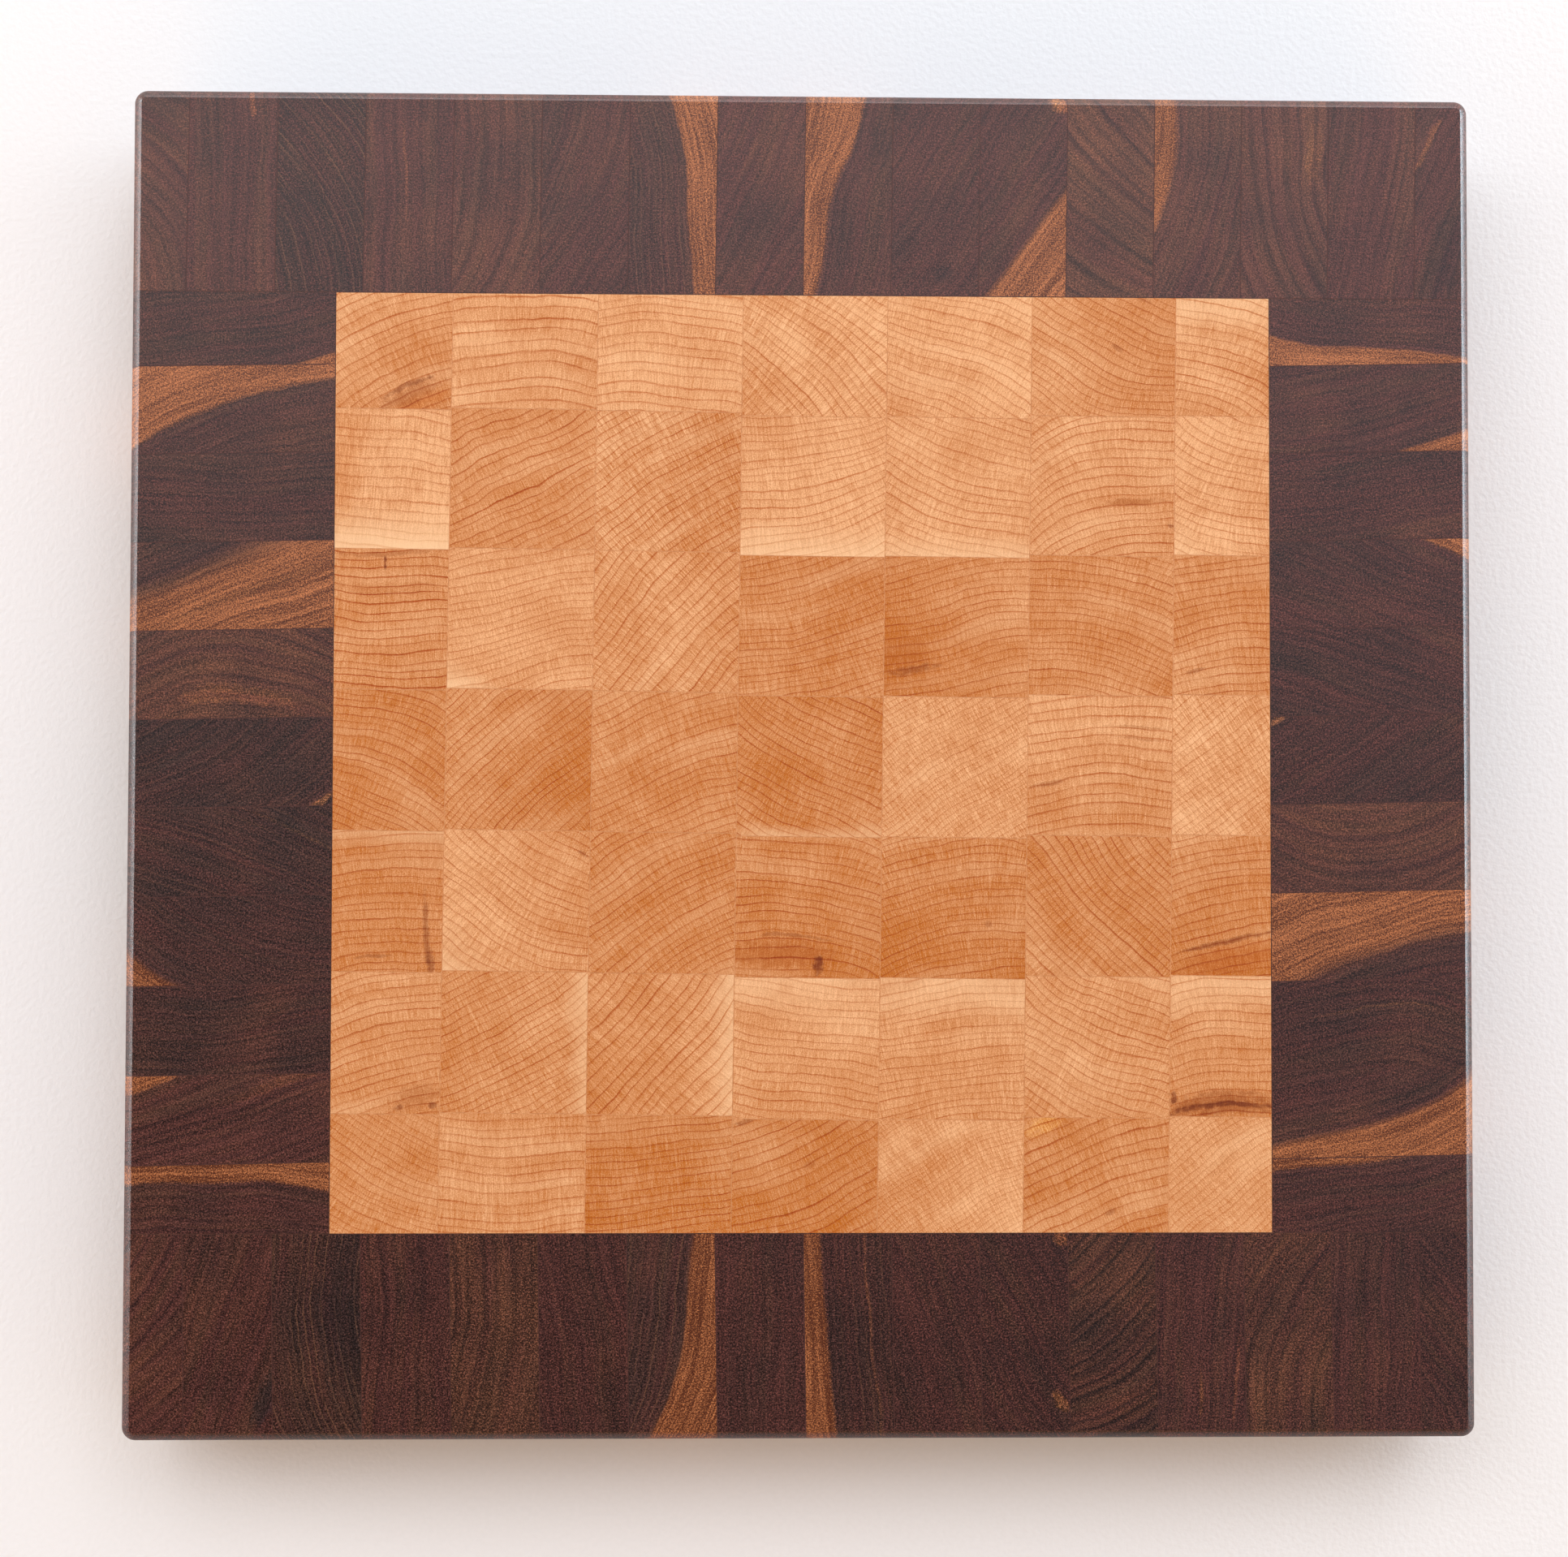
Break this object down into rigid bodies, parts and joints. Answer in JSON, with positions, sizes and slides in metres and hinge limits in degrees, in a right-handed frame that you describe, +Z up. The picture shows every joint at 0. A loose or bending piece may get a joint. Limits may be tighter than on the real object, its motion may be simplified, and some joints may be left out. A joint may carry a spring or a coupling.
{
  "type": "cutting board",
  "caption": "Square end-grain cutting board: a pale maple block field framed by dark walnut rails, with rounded edges and two flat faces.",
  "frame": {"origin": "centre of the board's underside", "axes": "+Z up through the thickness, +X to the right across the board and +Y up the board as it is pictured"},
  "size_m": [0.306, 0.306, 0.038],
  "materials": {
    "maple_pale": "oiled satin",
    "maple_light": "oiled satin",
    "maple_middle": "oiled satin",
    "maple_dark": "oiled satin",
    "walnut": "oiled satin"
  },
  "bodies": {
    "root": {"maple_c1_r1": "maple_middle", "maple_c1_r2": "maple_pale", "maple_c1_r3": "maple_middle", "maple_c1_r4": "maple_middle", "maple_c1_r5": "maple_middle", "maple_c1_r6": "maple_light", "maple_c1_r7": "maple_middle", "maple_c2_r1": "maple_light", "maple_c2_r2": "maple_middle", "maple_c2_r3": "maple_light", "maple_c2_r4": "maple_middle", "maple_c2_r5": "maple_pale", "maple_c2_r6": "maple_middle", "maple_c2_r7": "maple_light", "maple_c3_r1": "maple_light", "maple_c3_r2": "maple_dark", "maple_c3_r3": "maple_light", "maple_c3_r4": "maple_middle", "maple_c3_r5": "maple_middle", "maple_c3_r6": "maple_middle", "maple_c3_r7": "maple_dark", "maple_c4_r1": "maple_middle", "maple_c4_r2": "maple_pale", "maple_c4_r3": "maple_middle", "maple_c4_r4": "maple_dark", "maple_c4_r5": "maple_middle", "maple_c4_r6": "maple_light", "maple_c4_r7": "maple_dark", "maple_c5_r1": "maple_light", "maple_c5_r2": "maple_light", "maple_c5_r3": "maple_middle", "maple_c5_r4": "maple_pale", "maple_c5_r5": "maple_middle", "maple_c5_r6": "maple_light", "maple_c5_r7": "maple_pale", "maple_c6_r1": "maple_dark", "maple_c6_r2": "maple_light", "maple_c6_r3": "maple_middle", "maple_c6_r4": "maple_pale", "maple_c6_r5": "maple_middle", "maple_c6_r6": "maple_light", "maple_c6_r7": "maple_middle", "maple_c7_r1": "maple_light", "maple_c7_r2": "maple_pale", "maple_c7_r3": "maple_middle", "maple_c7_r4": "maple_pale", "maple_c7_r5": "maple_middle", "maple_c7_r6": "maple_middle", "maple_c7_r7": "maple_pale", "walnut_rail_top": "walnut", "walnut_rail_bottom": "walnut", "walnut_rail_left": "walnut", "walnut_rail_right": "walnut"}
  },
  "joints": []
}
